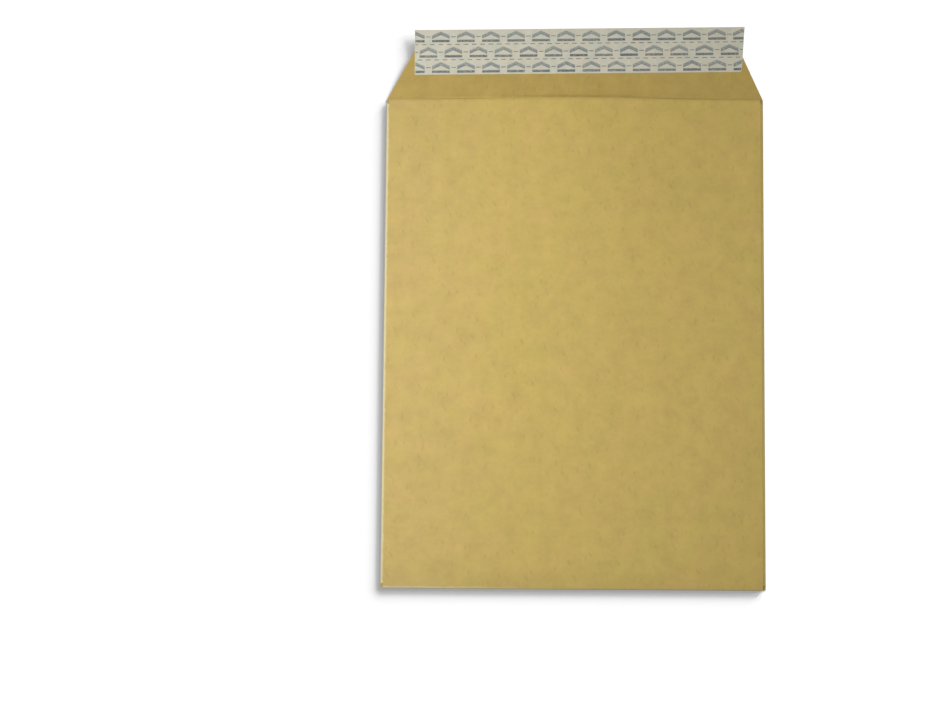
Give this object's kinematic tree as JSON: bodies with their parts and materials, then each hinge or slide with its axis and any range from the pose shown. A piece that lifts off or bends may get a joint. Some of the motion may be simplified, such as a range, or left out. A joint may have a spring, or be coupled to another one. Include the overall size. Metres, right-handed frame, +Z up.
{
  "type": "paper envelope",
  "caption": "Open-end pocket envelope of brown kraft paper, lying with its back up, its throat slightly open and its closing flap laid out with a printed release liner over the adhesive.",
  "frame": {"origin": "centre of the pocket's front face, midway between the bottom fold and the shoulders where the closing flap starts to narrow, on the surface that the envelope lies on", "axes": "+X to the right with the back up, +Y towards the closing flap, +Z up"},
  "size_m": [0.254, 0.3807, 0.0061],
  "materials": {
    "kraft_paper": "matt brown kraft with fine fibre mottling",
    "seam_glue": "dried glue film",
    "flap_adhesive": "clear tacky adhesive film",
    "liner_paper": "smooth silicone-coated cream paper, slightly shiny",
    "liner_ink": "blue-grey printed ink"
  },
  "bodies": {
    "root": {"kraft_blank": "kraft_paper", "seam_glue_left": "seam_glue", "seam_glue_right": "seam_glue", "flap_adhesive": "flap_adhesive", "release_liner": "liner_paper", "liner_print": "liner_ink"}
  },
  "joints": []
}
